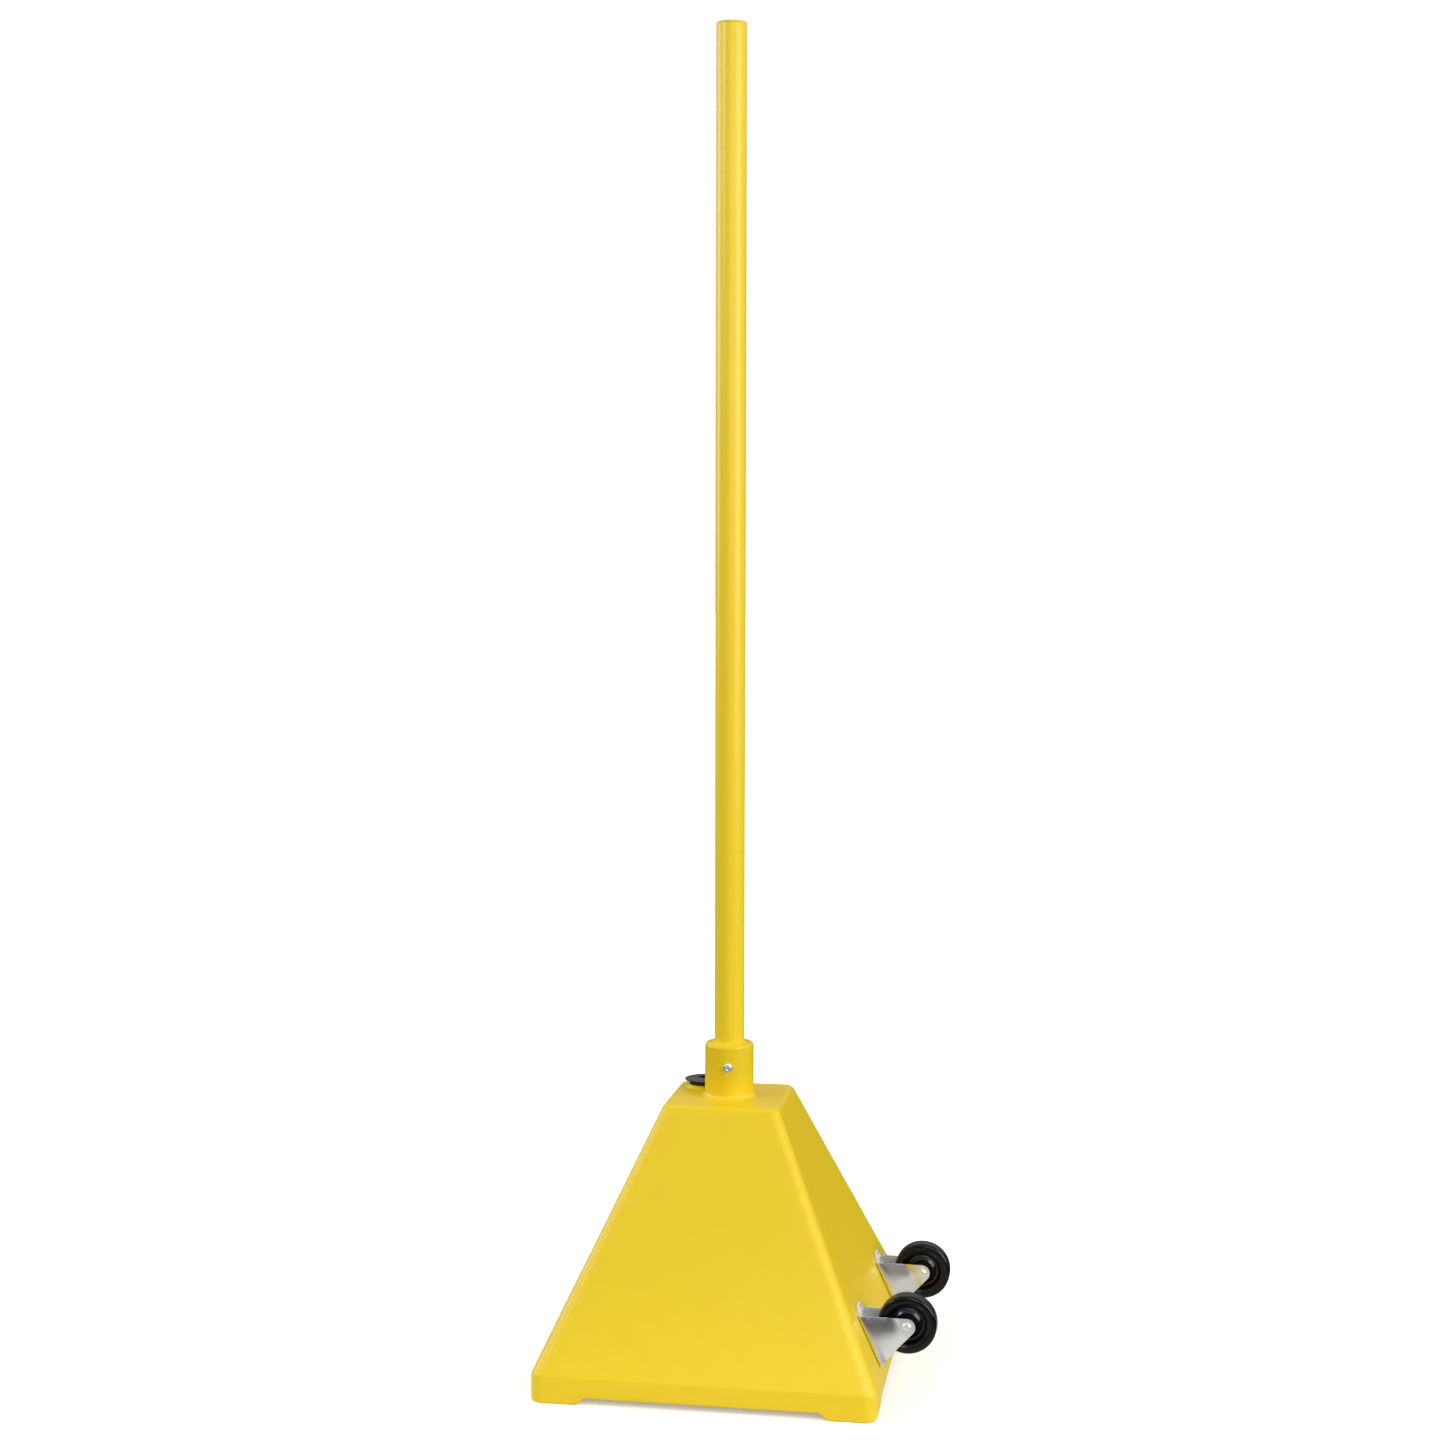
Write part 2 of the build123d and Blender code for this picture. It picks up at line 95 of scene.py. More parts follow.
SOCKET_R = 0.0214
SOCKET_FLOOR = 0.049
BOSS_R = 0.0270
BOSS_TOP_R = 0.0216
BOSS_H = 0.0044
BOSS_HOLE_R = 0.0185
LOCK_TURN = math.radians(-84.5)
LOCK_SEAT = 0.0339
LOCK_FLANGE_R = 0.007
LOCK_FLANGE_T = 0.0013
LOCK_HEX_AF = 0.0095
LOCK_HEX_H = 0.0046
LOCK_DIMPLE_R = 0.0026
LOCK_DIMPLE_DEPTH = 0.0010
LOCK_SHANK_R = 0.00275
LOCK_LENGTH = 0.024
LOCK_PITCH = 0.0018

# ---- filler ----
FILL_AT = (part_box("fill_cap")[0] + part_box("fill_cap")[1]) / 2
NECK_LOW, NECK_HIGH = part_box("fill_neck")
CAP_LOW, CAP_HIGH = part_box("fill_cap")
NECK_RIM_R = 0.0207
NECK_RIM_H = 0.0036
NECK_BORE_R = 0.0157
NECK_BARREL_R = 0.0184
CAP_PLUG_R = 0.0156
CAP_PLUG_BORE = 0.0132
CAP_SEAT_R = 0.0204
CAP_EDGE_RISE = 0.0015
CAP_EDGE_T = 0.0012
CAP_DISC_R = 0.0274
CAP_NOTCHES = 18
CAP_NOTCH_R = 0.0011
GASKET_T = 0.001
CAP_SOCKET_HALF = 0.00635
SOCKET_FLAG = 0.0071
CAP_SOCKET_DEPTH = 0.0024
CAP_ROOF = 0.003
THREAD_PITCH = 0.004
THREAD_H = 0.0006
THREAD_ROW = 0.0005

# ---- post ----
POST_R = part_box("post_tube")[1].x
POST_WALL = 0.002
CAP_HEAD_T = 0.003
SPIGOT_GAP = 0.0008
SPIGOT_WALL = 0.002
RIB_COUNT = 4
RIB_FIRST = 0.004
RIB_STEP = 0.005
RIB_T = 0.0016

# ---- casters ----
SLOPE = math.atan2(TANK_HALF - TOP_HALF, TOP_Z - SKIRT_H)
FACE_OUT = Vector((math.cos(SLOPE), 0, math.sin(SLOPE)))
FACE_UP = Vector((-math.sin(SLOPE), 0, math.cos(SLOPE)))
ACROSS = Vector((0, 1, 0))
AXLE_H = 0.0555
SHEET = 0.0025
FORK_ROOT_HALF = 0.025
FORK_TIP_HALF = 0.0205
FORK_TAPER_H = 0.042
FORK_BEND_R = 0.0055
LEG_BOSS_R = 0.012
LEG_LOWER = -0.0365
LEG_UPPER = LEG_BOSS_R / math.cos(SLOPE) + AXLE_H * math.tan(SLOPE)
TAB_UPPER = 0.0505
TAB_LOWER = -0.042
TAB_HALF = 0.0175
TAB_CORNER_R = 0.012
LEG_BOW = 0.0020
BOW_STARTS = (0.004, 0.014)
BOW_ENDS = (0.034, 0.050)
SHEET_EDGE_R = 0.00045
TYRE_R = 0.0405
TYRE_HALF = 0.0125
TYRE_BORE_R = 0.028
TYRE_SHOULDER_R = 0.0045
TYRE_LIP = 0.0036
TYRE_LIP_R = 0.0040
TYRE_CROWN = 0.0003
TYRE_CROWN_R = 0.06
RIM_HALF = 0.0105
RIM_INNER_R = 0.0234
WASHER_T = 0.0014
HUB_R = 0.0115
HUB_HALF = 0.0165
HUB_BORE_R = 0.00605
WEB_HALF = 0.004
BOLT_UPPER = 0.0395
BOLT_LOWER = -0.0295
BOLT_AF = 0.010
BOLT_HEAD_H = 0.0042
BOLT_DIMPLE_R = 0.0022
BOLT_DIMPLE_DEPTH = 0.0004
BOLT_SHANK_R = 0.003
BOLT_LENGTH = 0.016
BOLT_PITCH = 0.001
CASTERS = ("front", "rear")

# ---- how finely round shapes are divided ----
POST_SEGMENTS = 128
WHEEL_SEGMENTS = 144
NECK_SEGMENTS = 144
CAP_SEGMENTS = 360
SCREW_SEGMENTS = 96
SHANK_SEGMENTS = 48
PAD_SEGMENTS = 96
FORK_COLUMNS = 28


# ---------------------------------------------------------------- mesh helpers

WELD = 0.000002
ON_AXIS = 1e-7
STRAIGHT_DEG = 89.5
ARC_SHARE = 0.499


def make_object(name, verts, faces, sharp_deg=32):
    mesh = bpy.data.meshes.new(name)
    mesh.from_pydata([tuple(v) for v in verts], [], faces)
    mesh.validate()
    shell = bmesh.new()
    shell.from_mesh(mesh)
    bmesh.ops.remove_doubles(shell, verts=shell.verts, dist=WELD)
    bmesh.ops.recalc_face_normals(shell, faces=shell.faces)
    shell.to_mesh(mesh)
    shell.free()
    mesh.polygons.foreach_set("use_smooth", [True] * len(mesh.polygons))
    mesh.set_sharp_from_angle(angle=math.radians(sharp_deg))
    obj = bpy.data.objects.new(name, mesh)
    bpy.context.collection.objects.link(obj)
    return obj


def join_shells(*shells):
    """One list of vertices and faces from several."""
    verts, faces = [], []
    for more_verts, more_faces in shells:
        start = len(verts)
        verts += more_verts
        faces += [[start + i for i in face] for face in more_faces]
    return verts, faces


def rounded(corners, closed=True, step_deg=9):
    """A 2-D outline from corners (u, v, radius), with each corner's radius drawn as an arc."""
    points = []
    count = len(corners)
    for i, (u, v, radius) in enumerate(corners):
        here = Vector((u, v))
        if radius <= 0 or (not closed and i in (0, count - 1)):
            points.append(here)
            continue
        before = Vector(corners[i - 1][:2]) - here
        after = Vector(corners[(i + 1) % count][:2]) - here
        half = before.angle(after) / 2
        if half > math.radians(STRAIGHT_DEG):
            points.append(here)
            continue
        reach = min(radius / math.tan(half), ARC_SHARE * before.length, ARC_SHARE * after.length)
        radius = reach * math.tan(half)
        before.normalize()
        after.normalize()
        centre = here + (before + after).normalized() * (radius / math.sin(half))
        start = here + before * reach - centre
        end = here + after * reach - centre
        sweep = start.angle_signed(end)
        steps = max(2, round(abs(math.degrees(sweep)) / step_deg))
        for k in range(steps + 1):
            turn = -sweep * k / steps
            points.append(centre + Vector((start.x * math.cos(turn) - start.y * math.sin(turn),
                                           start.x * math.sin(turn) + start.y * math.cos(turn))))
    return points


def bridge(rings, closed_rows=False):
    """Quads between rings of the same length; a ring of one index is a pole."""
    faces = []
    pairs = list(zip(rings, rings[1:]))
    if closed_rows:
        pairs.append((rings[-1], rings[0]))
    for low, high in pairs:
        count = max(len(low), len(high))
        if count == 1:
            continue
        for k in range(count):
            n = (k + 1) % count
            if len(low) == 1:
                faces.append([low[0], high[n], high[k]])
            elif len(high) == 1:
                faces.append([low[k], low[n], high[0]])
            else:
                faces.append([low[k], low[n], high[n], high[k]])
    return faces


def lathe(outline, origin, axis, segments, radius_at=None, lift_at=None):
    """Revolve (radius, height) points about an axis. Ends on the axis become poles, other outlines close."""
    axis = Vector(axis).normalized()
    side = axis.orthogonal().normalized()
    other = axis.cross(side)
    verts, rings = [], []
    for radius, height in outline:
        if radius < ON_AXIS:
            rings.append([len(verts)])
            verts.append(Vector(origin) + axis * height)
            continue
        rings.append(list(range(len(verts), len(verts) + segments)))
        for k in range(segments):
            angle = math.tau * k / segments
            r = radius_at(radius, height, angle) if radius_at else radius
            h = lift_at(radius, height, angle) if lift_at else height
            out = side * math.cos(angle) + other * math.sin(angle)
            verts.append(Vector(origin) + axis * h + out * r)
    poles = outline[0][0] < ON_AXIS and outline[-1][0] < ON_AXIS
    return verts, bridge(rings, closed_rows=not poles)


def smoothstep(low, high, value):
    t = min(1.0, max(0.0, (value - low) / (high - low)))
    return t * t * (3 - 2 * t)


def place(obj, body, slot, material, *nodes):
    """Give a new piece its body, the CAD nodes it stands for and its material; the slot is not used."""
    obj.data.materials.clear()
    obj.data.materials.append(material)
    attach(obj, body)
    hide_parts(*nodes)


# ---------------------------------------------------------------- materials

RANGE_SOCKETS = ("From Min", "From Max", "To Min", "To Max")


class Finish:
    """One procedural material. Patterns are in the model's own coordinates."""

    def __init__(self, name, color, roughness, metallic=0.0, specular=0.5):
        self.material = bpy.data.materials.new(name)
        self.material.use_nodes = True
        self.tree = self.material.node_tree
        self.shader = self.tree.nodes["Principled BSDF"]
        self.place = self.add("ShaderNodeTexCoord").outputs["Object"]
        self.color = None
        self.rough = None
        self.normal = None
        self.set("Base Color", (*color, 1))
        self.set("Roughness", roughness)
        self.set("Metallic", metallic)
        self.set("Specular IOR Level", specular)

    def set(self, socket, value):
        self.shader.inputs[socket].default_value = value

    def add(self, kind, **settings):
        node = self.tree.nodes.new(kind)
        for key, value in settings.items():
            setattr(node, key, value)
        return node

    def link(self, source, socket):
        self.tree.links.new(source, socket)

    def stretched(self, scale):
        """The model's coordinates scaled by axis, for streaks and brushed grain."""
        node = self.add("ShaderNodeMapping")
        node.inputs["Scale"].default_value = scale
        self.link(self.place, node.inputs["Vector"])
        return node.outputs["Vector"]

    def noise(self, scale, detail=3.0, where=None):
        node = self.add("ShaderNodeTexNoise")
        node.inputs["Scale"].default_value = scale
        node.inputs["Detail"].default_value = detail
        self.link(where or self.place, node.inputs["Vector"])
        return node.outputs["Fac"]

    def cells(self, scale, feature="F1"):
        node = self.add("ShaderNodeTexVoronoi", feature=feature)
        node.inputs["Scale"].default_value = scale
        self.link(self.place, node.inputs["Vector"])
        return node.outputs["Color"] if feature == "F1" else node.outputs["Distance"]

    def span(self, value, low, high, out_low=0.0, out_high=1.0):
        """Map a value from one range to another, clamped and smoothed."""
        node = self.add("ShaderNodeMapRange", interpolation_type="SMOOTHSTEP")
        for socket, number in zip(RANGE_SOCKETS, (low, high, out_low, out_high)):
            node.inputs[socket].default_value = number
        self.link(value, node.inputs["Value"])
        return node.outputs["Result"]

    def math(self, operation, a, b=None):
        node = self.add("ShaderNodeMath", operation=operation)
        for socket, value in zip(node.inputs, (a, b)):
            if isinstance(value, (int, float)):
                socket.default_value = value
            elif value is not None:
                self.link(value, socket)
        return node.outputs["Value"]

    def axis(self, index):
        node = self.add("ShaderNodeSeparateXYZ")
        self.link(self.place, node.inputs["Vector"])
        return node.outputs[index]

    def distance_to(self, point):
        """Distance from a point, in metres."""
        node = self.add("ShaderNodeVectorMath", operation="DISTANCE")
        self.link(self.place, node.inputs[0])
        node.inputs[1].default_value = point
        return node.outputs["Value"]

    def tint(self, factor, color, share=1.0):
        """Blend the base colour towards another colour by a factor."""
        node = self.add("ShaderNodeMix", data_type="RGBA")
        if self.color is None:
            node.inputs[6].default_value = self.shader.inputs["Base Color"].default_value
        else:
            self.link(self.color, node.inputs[6])
        node.inputs[7].default_value = (*color, 1)
        self.link(self.math("MULTIPLY", factor, share), node.inputs[0])
        self.color = node.outputs[2]
        self.link(self.color, self.shader.inputs["Base Color"])

    def roughen(self, factor, amount):
        """Add an amount of roughness where the factor is high."""
        base = self.rough or self.shader.inputs["Roughness"].default_value
        added = self.math("MULTIPLY", factor, amount)
        self.rough = self.math("ADD", added, base)
        self.link(self.rough, self.shader.inputs["Roughness"])

    def bump(self, height, distance, strength=1.0):
        node = self.add("ShaderNodeBump")
        node.inputs["Distance"].default_value = distance
        node.inputs["Strength"].default_value = strength
        self.link(height, node.inputs["Height"])
        if self.normal is not None:
            self.link(self.normal, node.inputs["Normal"])
        self.normal = node.outputs["Normal"]
        self.link(self.normal, self.shader.inputs["Normal"])

    def painted_shade_in_bounces(self, color):
        """Show diffuse rays a plain dark surface: painted shade, so that this one throws no bright spots
        nearby and darkens the surfaces beside it.
        """
        plain = self.add("ShaderNodeBsdfDiffuse")
        plain.inputs["Color"].default_value = (*color, 1)
        mix = self.add("ShaderNodeMixShader")
        self.link(self.add("ShaderNodeLightPath").outputs["Is Diffuse Ray"], mix.inputs["Fac"])
        self.link(self.shader.outputs["BSDF"], mix.inputs[1])
        self.link(plain.outputs["BSDF"], mix.inputs[2])
        self.link(mix.outputs["Shader"], self.tree.nodes["Material Output"].inputs["Surface"])


def scuffs(finish, mask, color, share, size=260):
    """Rubbed patches and fine scratches where the mask is high."""
    patches = finish.span(finish.noise(size, 6), 0.52, 0.66)
    scratches = finish.span(finish.noise(90, 5, finish.stretched((1, 9, 4))), 0.60, 0.66)
    worn = finish.math("MULTIPLY", mask, finish.math("MAXIMUM", patches, scratches))
    finish.tint(worn, color, share)
    finish.roughen(worn, 0.18)


def tank_plastic():
    """Moulded yellow polyethylene: a satin skin with faint clouding, and rubbed feet and corners."""
    f = Finish("tank_plastic", (0.825, 0.585, 0.010), 0.32, specular=0.36)
    f.tint(f.span(f.noise(3.2, 2), 0.35, 0.65), (0.835, 0.598, 0.016), 0.55)
    f.tint(f.span(f.noise(28, 4), 0.45, 0.75), (0.790, 0.545, 0.008), 0.28)
    f.tint(f.span(f.noise(420, 2), 0.55, 0.80), (0.86, 0.63, 0.030), 0.16)
    f.roughen(f.noise(14, 4), 0.10)
    z = f.axis(2)
    from_x = f.math("ABSOLUTE", f.axis(0))
    from_y = f.math("ABSOLUTE", f.axis(1))
    corner = f.math("ABSOLUTE", f.math("SUBTRACT", from_x, from_y))
    mask = f.math("MAXIMUM", f.span(z, 0.0, 0.016, 1, 0), f.span(corner, 0.0, 0.010, 0.45, 0))
    scuffs(f, mask, (0.62, 0.44, 0.07), 0.45)
    f.bump(f.noise(7, 1), 0.0016, 0.25)
    f.bump(f.noise(330, 3), 0.00030, 0.30)
    f.bump(f.noise(1500, 2), 0.00008, 0.25)
    return f.material


def post_paint():
    """Yellow powder coat: finer than the tank, with orange peel and a few thin rub lines."""
    f = Finish("post_paint", (0.920, 0.665, 0.022), 0.28, specular=0.45)
    f.tint(f.span(f.noise(4, 3, f.stretched((1, 1, 0.25))), 0.35, 0.65), (0.935, 0.69, 0.034), 0.5)
    f.tint(f.span(f.noise(700, 2), 0.62, 0.80), (0.70, 0.48, 0.02), 0.2)
    f.roughen(f.noise(60, 4), 0.12)
    rubs = f.span(f.noise(240, 4, f.stretched((1, 1, 0.04))), 0.66, 0.72)
    f.roughen(rubs, 0.15)
    f.bump(f.noise(420, 3), 0.00022, 0.35)
    f.bump(rubs, 0.00004, 0.5)
    return f.material


def cap_plastic():
    """Moulded yellow cap in the end of the post."""
    f = Finish("post_cap_plastic", (0.82, 0.58, 0.014), 0.36, specular=0.35)
    f.tint(f.span(f.noise(90, 3), 0.4, 0.7), (0.84, 0.61, 0.03), 0.5)
    f.roughen(f.noise(200, 3), 0.12)
    f.bump(f.noise(900, 3), 0.0001, 0.4)
    return f.material


def zinc_sheet(name, color, roughness, metallic):
    """Pressed, zinc plated sheet: rolling grain, faint crystals, and burnished dull patches."""
    f = Finish(name, color, roughness, metallic)
    f.tint(f.cells(420), (0.60, 0.61, 0.63), 0.05)
    f.tint(f.span(f.noise(45, 5), 0.45, 0.70), (0.52, 0.53, 0.55), 0.16)
    f.roughen(f.noise(120, 5, f.stretched((1, 1, 6))), 0.10)
    f.bump(f.noise(500, 3, f.stretched((0.25, 1, 5))), 0.000004, 0.4)
    f.bump(f.noise(30, 2), 0.00004, 0.2)
    # Painted shade: light bounced off the sheet comes back dark, which darkens the tank beside each caster.
    f.painted_shade_in_bounces((0.10, 0.09, 0.06))
    return f.material


def zinc_screw():
    """Bright zinc plated fasteners, with handling marks."""
    f = Finish("zinc_screw", (0.88, 0.89, 0.91), 0.22, metallic=0.75)
    f.tint(f.span(f.noise(380, 4), 0.45, 0.70), (0.55, 0.56, 0.59), 0.35)
    f.roughen(f.noise(700, 4), 0.16)
    f.bump(f.noise(1200, 3), 0.00001, 0.5)
    return f.material


def black_plastic():
    """Glossy black screw cap and neck."""
    f = Finish("black_plastic", (0.010, 0.011, 0.013), 0.20, specular=0.45)
    f.tint(f.span(f.noise(160, 4), 0.45, 0.72), (0.028, 0.029, 0.032), 0.6)
    f.roughen(f.noise(300, 4), 0.14)
    f.bump(f.noise(1300, 3), 0.00005, 0.5)
    return f.material


def seal_rubber():
    f = Finish("seal_rubber", (0.018, 0.018, 0.019), 0.62)
    f.tint(f.span(f.noise(600, 3), 0.45, 0.7), (0.05, 0.05, 0.052), 0.5)
    f.bump(f.noise(1500, 3), 0.00008, 0.6)
    return f.material


def tyre_rubber(name, axle):
    """Hard black tread: polished on its sides, with a greyer rubbed running band."""
    f = Finish(name, (0.002, 0.002, 0.0025), 0.12, specular=0.30)
    across = f.math("ABSOLUTE", f.math("SUBTRACT", f.axis(1), axle.y))
    band = f.span(across, 0.0085, 0.0118, 1, 0)
    f.tint(f.math("MULTIPLY", band, f.span(f.noise(150, 5), 0.35, 0.70)), (0.030, 0.030, 0.031), 0.7)
    f.roughen(band, 0.16)
    f.roughen(f.noise(240, 4), 0.06)
    f.tint(f.span(f.noise(520, 5), 0.62, 0.76), (0.012, 0.012, 0.013), 0.5)
    f.bump(f.noise(900, 4), 0.00001, 0.4)
    return f.material


def wheel_plastic():
    """Black moulded wheel centre with a high gloss."""
    f = Finish("wheel_plastic", (0.002, 0.002, 0.0025), 0.19, specular=0.60)
    f.tint(f.span(f.noise(180, 4), 0.50, 0.76), (0.008, 0.008, 0.009), 0.6)
    f.roughen(f.noise(260, 4), 0.08)
    f.bump(f.noise(140, 2), 0.00002, 0.3)
    return f.material


def floor_paint():
    """Plain pale floor. It fades to white away from the object, and it lights the object only from nearby."""
    f = Finish("floor", (0.92, 0.92, 0.92), 0.75, specular=0.1)
    f.tint(f.noise(5, 3), (0.90, 0.90, 0.90), 0.5)
    f.bump(f.noise(400, 2), 0.0001, 0.2)
    away = f.distance_to((0, 0, 0))
    f.set("Emission Color", (1, 1, 1, 1))
    f.link(f.span(away, *FLOOR_GLOW), f.shader.inputs["Emission Strength"])
    bounce = f.add("ShaderNodeBsdfDiffuse")
    f.link(f.span(away, *FLOOR_BOUNCE), bounce.inputs["Color"])
    mix = f.add("ShaderNodeMixShader")
    f.link(f.add("ShaderNodeLightPath").outputs["Is Camera Ray"], mix.inputs["Fac"])
    f.link(bounce.outputs["BSDF"], mix.inputs[1])
    f.link(f.shader.outputs["BSDF"], mix.inputs[2])
    f.link(mix.outputs["Shader"], f.tree.nodes["Material Output"].inputs["Surface"])
    return f.material


# ---------------------------------------------------------------- tank

def side_stations():
    """Places along half a side of the skirt, close together over the foot's ramp and the small notch."""
    ramp = [RECESS_INNER - 0.006 + k * 0.0014 for k in range(21)]
    notch = [NOTCH_X + (k - 5) * NOTCH_HALF / 4 for k in range(11)]
    coarse = [0.0118 * k for k in range(13)]
    return coarse + ramp + [0.189, 0.1945] + notch + [0.2135]


def ring_keys():
    """Each point round a rounded square as (side, place along it or None, angle on the corner or None)."""
    stations = side_stations()
    along = [-s for s in reversed(stations[1:])] + stations
    keys = []
    for quarter in range(4):
        start = math.tau * quarter / 4
        keys += [(quarter, place_along, None) for place_along in along]
        for k in range(CORNER_STEPS):
            keys.append((quarter, None, start + math.radians(90) * (k + 0.5) / CORNER_STEPS))
    return keys


CORNER_STEPS = 16
SIDE_REACH = TANK_HALF - SKIRT_CORNER_R
RING_KEYS = ring_keys()


def square_point(key, half, radius):
    """A point of the rounded square. Quarter 0 is the +X side, and the others follow anticlockwise."""
    quarter, place_along, angle = key
    turn = math.tau * quarter / 4
    inner = half - radius
    if angle is None:
        x, y = half, place_along / SIDE_REACH * inner
    else:
        local = angle - turn
        x, y = inner + radius * math.cos(local), inner + radius * math.sin(local)
    return Vector((x * math.cos(turn) - y * math.sin(turn), x * math.sin(turn) + y * math.cos(turn)))


def ramp_height(place_along):
    """Height of the underside across one channel: the floor at a foot, and the recess between two feet."""
    return FOOT_RECESS * (1 - smoothstep(RECESS_INNER, FOOT_INNER, abs(place_along)))


def under_height(x, y):
    """Height of the underside: a raised cross between four feet, with a pad in the middle."""
    height = max(ramp_height(x), ramp_height(y))
    pad = 1 - smoothstep(PAD_R - PAD_EDGE, PAD_R, math.hypot(x, y))
    return height * (1 - pad)


def notch_height(x, y):
    """The small moulding notch in the front right foot's lower edge."""
    at_front = y < -TANK_HALF + SKIRT_CORNER_R
    return NOTCH_H * (1 - smoothstep(0, NOTCH_HALF, abs(x - NOTCH_X))) if at_front else 0.0


def panel_sink(key, z):
    """How far a sloped panel has drawn in while cooling: most in its middle, nothing at its edges."""
    place_along = key[1]
    if place_along is None or not SKIRT_H < z < TOP_Z:
        return 0.0
    across = 1 - (place_along / SIDE_REACH) ** 2
    up = math.sin(math.pi * (z - SKIRT_H) / (TOP_Z - SKIRT_H))
    return PANEL_SINK * across ** 1.5 * up ** 2


def side_outline():
    """Half-width and height up the tank's side, from the skirt's foot to the flat top."""
    crease_top = [(TANK_HALF + (TOP_HALF - TANK_HALF) * k / 24, SKIRT_H + (TOP_Z - SKIRT_H) * k / 24, 0)
                  for k in range(1, 24)]
    return rounded([(TANK_HALF, 0.0, 0), (TANK_HALF, SKIRT_H, CREASE_R), *crease_top,
                    (TOP_HALF, TOP_Z, TOP_EDGE_R), (TOP_HALF - 0.012, TOP_Z, 0)], closed=False, step_deg=6)


def tank_skin():
    """The outside of the tank in rings, from the feet's rounded edge to the top of the collar."""
    verts, rings = [], []

    def add_ring(points):
        rings.append(list(range(len(verts), len(verts) + len(points))))
        verts.extend(points)

    edge_steps = 5
    outline = side_outline()
    for k in range(edge_steps + 1):
        lean = math.radians(90) * k / edge_steps
        inset = FOOT_EDGE_R * (1 - math.sin(lean))
        row = []
        for key in RING_KEYS:
            flat = square_point(key, TANK_HALF - inset, SKIRT_CORNER_R - inset)
            wall = square_point(key, TANK_HALF, SKIRT_CORNER_R)
            low = max(under_height(wall.x, wall.y), notch_height(wall.x, wall.y))
            row.append(Vector((flat.x, flat.y, low + FOOT_EDGE_R * (1 - math.cos(lean)))))
        add_ring(row)
    skirt_top = outline[1].y
    for share in (0.35, 0.7):
        row = []
        for key, below in zip(RING_KEYS, verts[rings[edge_steps][0]:]):
            flat = square_point(key, TANK_HALF, SKIRT_CORNER_R)
            row.append(Vector((flat.x, flat.y, below.z + (skirt_top - below.z) * share)))
        add_ring(row)
    for half, z in outline[1:-1]:
        share = (z - SKIRT_H) / (TOP_Z - SKIRT_H)
        radius = SKIRT_CORNER_R + (TOP_CORNER_R - SKIRT_CORNER_R) * max(0, share)
        radius = max(0.006, radius - max(0, (TANK_HALF + (TOP_HALF - TANK_HALF) * max(0, share)) - half))
        row = []
        for key in RING_KEYS:
            flat = square_point(key, half - panel_sink(key, z), radius)
            row.append(Vector((flat.x, flat.y, z)))
        add_ring(row)
    top_ring = [v.to_2d() for v in verts[rings[-1][0]:]]
    foot_out = COLLAR_R + COLLAR_FOOT_R
    deck_steps = 10
    for k in range(1, deck_steps + 1):
        share = k / deck_steps
        deck = [p.lerp(p.normalized() * foot_out, share) for p in top_ring]
        add_ring([p.to_3d() + Vector((0, 0, TOP_Z)) for p in deck])
    mouth = rounded([(foot_out, TOP_Z, 0), (COLLAR_R, TOP_Z, COLLAR_FOOT_R),
                     (COLLAR_R, COLLAR_TOP, COLLAR_TOP_R),
                     (LIP_R, COLLAR_TOP, 0.003), (SOCKET_R + 0.0012, COLLAR_TOP + LIP_H, 0.0007),
                     (SOCKET_R, COLLAR_TOP + LIP_H, 0.0004), (SOCKET_R, SOCKET_FLOOR, 0)],
                    closed=False, step_deg=7)
    for radius, z in mouth[1:]:
        add_ring([(p.normalized() * radius).to_3d() + Vector((0, 0, z)) for p in top_ring])
    rings.append([len(verts)])
    verts.append(Vector((0, 0, SOCKET_FLOOR)))
    return verts, bridge(rings), [verts[i] for i in rings[0]]


def underside(edge):
    """The tank's underside, filled in from its lowest ring, with points on every ramp and round the pad."""
    count = len(edge)
    flat = [v.to_2d() for v in edge]
    lines = [s * (RECESS_INNER + k * (FOOT_INNER - RECESS_INNER) / 6) for s in (-1, 1) for k in range(7)]
    inner = sorted(lines + [0.02 * k for k in range(-7, 8)])
    reach = TANK_HALF - FOOT_EDGE_R - 0.002
    grid = sorted(inner + [s * v for s in (-1, 1) for v in (0.19, 0.205, 0.218)])
    corner_at = TANK_HALF - SKIRT_CORNER_R
    points = []
    for x in grid + [-reach + 0.002, reach - 0.002]:
        for y in grid + [-reach + 0.002, reach - 0.002]:
            past = Vector((max(0, abs(x) - corner_at), max(0, abs(y) - corner_at)))
            clear_of_pad = math.hypot(x, y) > PAD_R + 0.003
            if past.length < SKIRT_CORNER_R - FOOT_EDGE_R - 0.002 and clear_of_pad:
                points.append(Vector((x, y)))
    for radius in [0.001] + [PAD_R - PAD_EDGE + PAD_EDGE * k / 4 for k in range(5)]:
        turns = 1 if radius < 0.01 else PAD_SEGMENTS
        points += [Vector((radius * math.cos(math.tau * k / turns), radius * math.sin(math.tau * k / turns)))
                   for k in range(turns)]
    loop = [(k, (k + 1) % count) for k in range(count)]
    found = delaunay_2d_cdt(flat + points, loop, [], 1, 1e-6)
    verts = []
    for at in found[0]:
        nearest = min(edge, key=lambda v: (v.x - at.x) ** 2 + (v.y - at.y) ** 2)
        on_edge = (nearest.to_2d() - at).length < 1e-5
        verts.append(nearest.copy() if on_edge else Vector((at.x, at.y, under_height(at.x, at.y))))
    return verts, [list(reversed(face)) for face in found[2]]


